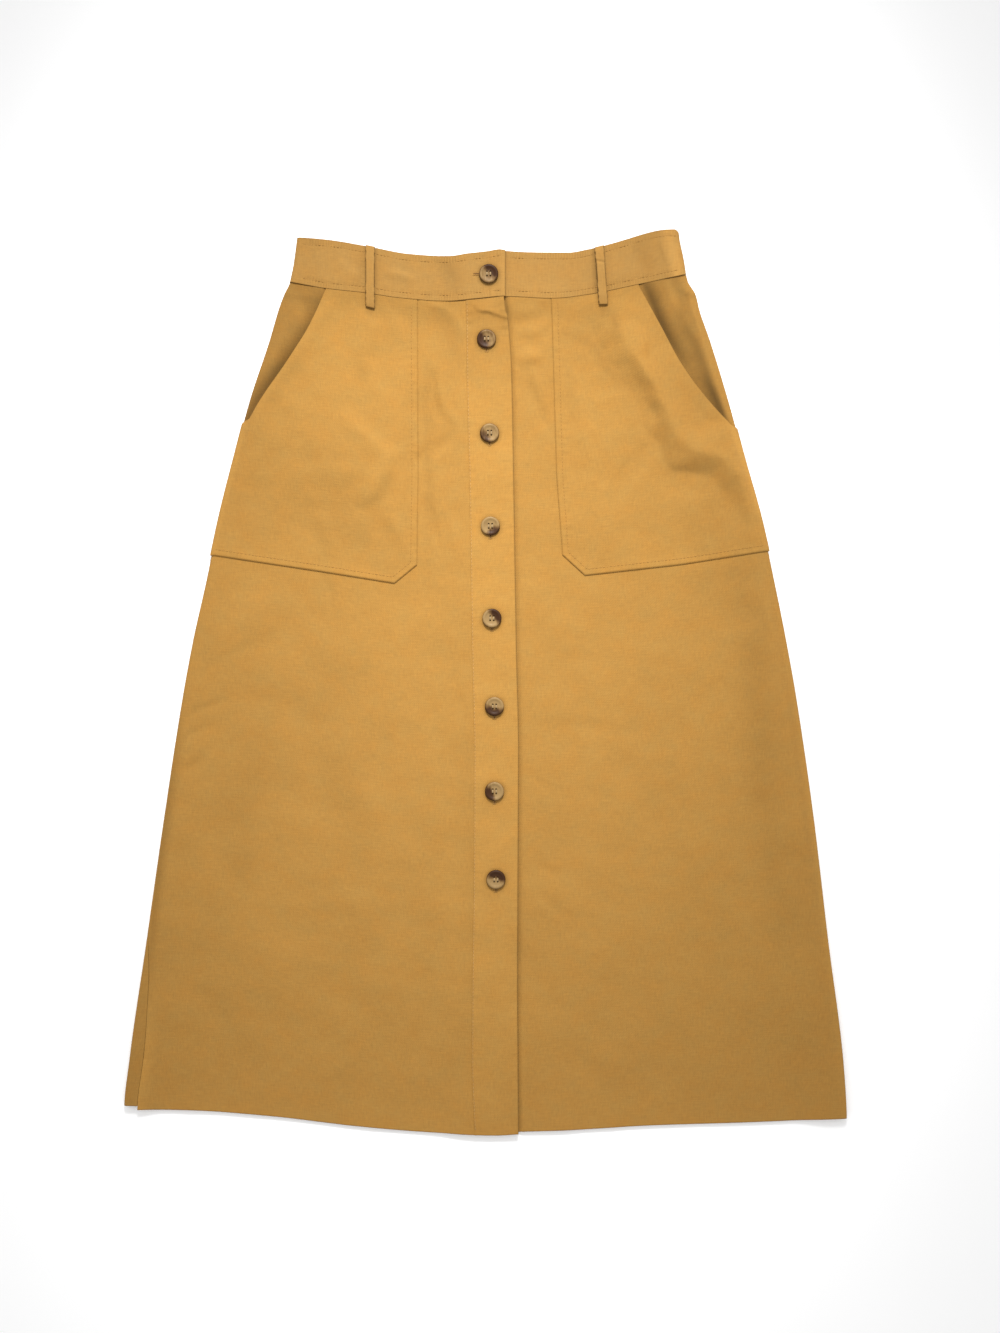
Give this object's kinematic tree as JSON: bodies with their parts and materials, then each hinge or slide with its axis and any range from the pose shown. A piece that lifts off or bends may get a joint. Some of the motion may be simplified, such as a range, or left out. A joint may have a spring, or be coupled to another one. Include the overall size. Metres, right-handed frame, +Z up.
{
  "type": "a-line skirt",
  "caption": "Midi A-line skirt laid flat on its back, buttoned down the front, with slanted patch pockets, a plain waistband and belt loops.",
  "frame": {"origin": "centre of the skirt's outline, on the table it lies on", "axes": "+X to the viewer's right across the front, +Y from hem to waist, +Z up from the table"},
  "size_m": [0.626, 0.786, 0.0112],
  "materials": {
    "twill": "mustard cotton twill, slightly slubby and matt",
    "twill_band": "the same twill, folded and stiffened",
    "horn": "mottled brown horn, satin"
  },
  "bodies": {
    "root": {"back": "twill", "front_left": "twill", "front_right": "twill", "placket": "twill", "pocket_left": "twill", "pocket_right": "twill", "waistband_back": "twill_band", "waistband_left": "twill_band", "waistband_right": "twill_band", "belt_loop_left": "twill_band", "belt_loop_right": "twill_band", "button_1": "horn", "button_2": "horn", "button_3": "horn", "button_4": "horn", "button_5": "horn", "button_6": "horn", "button_7": "horn", "button_8": "horn"}
  },
  "joints": []
}
